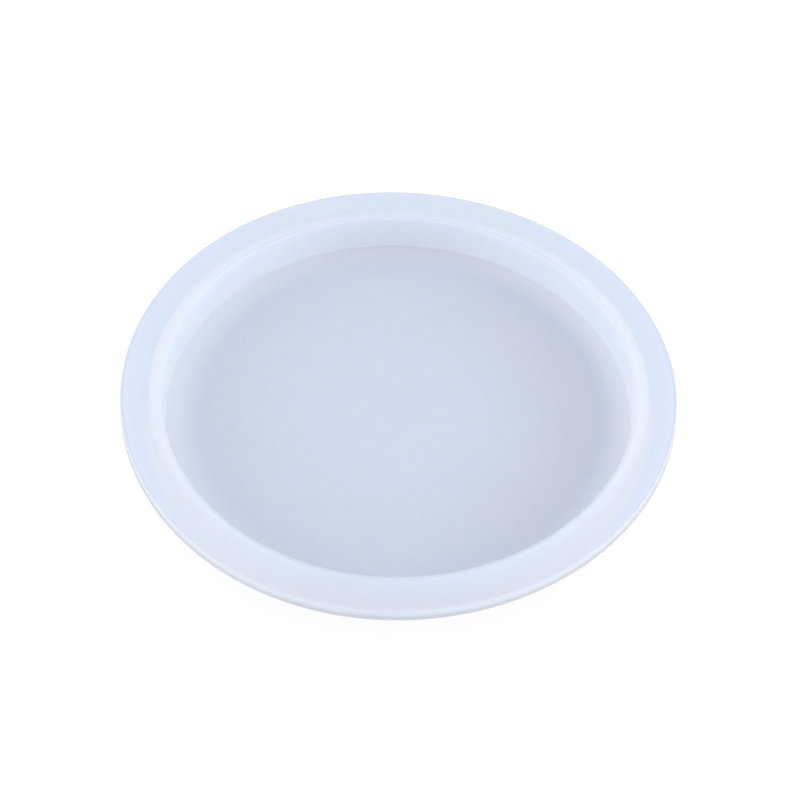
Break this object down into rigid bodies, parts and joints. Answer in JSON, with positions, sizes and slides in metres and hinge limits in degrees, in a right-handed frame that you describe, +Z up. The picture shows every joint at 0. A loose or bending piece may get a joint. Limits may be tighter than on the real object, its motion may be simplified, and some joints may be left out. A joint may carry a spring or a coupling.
{
  "type": "resin casting mould",
  "caption": "Shallow round open-top silicone mould with a raised pouring lip and a flat lifting rim, for casting resin discs, coasters and trays.",
  "frame": {"origin": "centre of the flat underside, which is the face that the mould rests on", "axes": "+Z up, out of the mouth of the cavity, along the mould's axis of revolution; X and Y lie in the resting face and are free to choose, because the mould is round"},
  "size_m": [0.12, 0.12, 0.0106],
  "materials": {
    "silicone": "satin"
  },
  "bodies": {
    "root": {"cavity_floor": "silicone", "cavity_wall": "silicone", "pour_lip": "silicone", "lifting_rim": "silicone"}
  },
  "joints": []
}
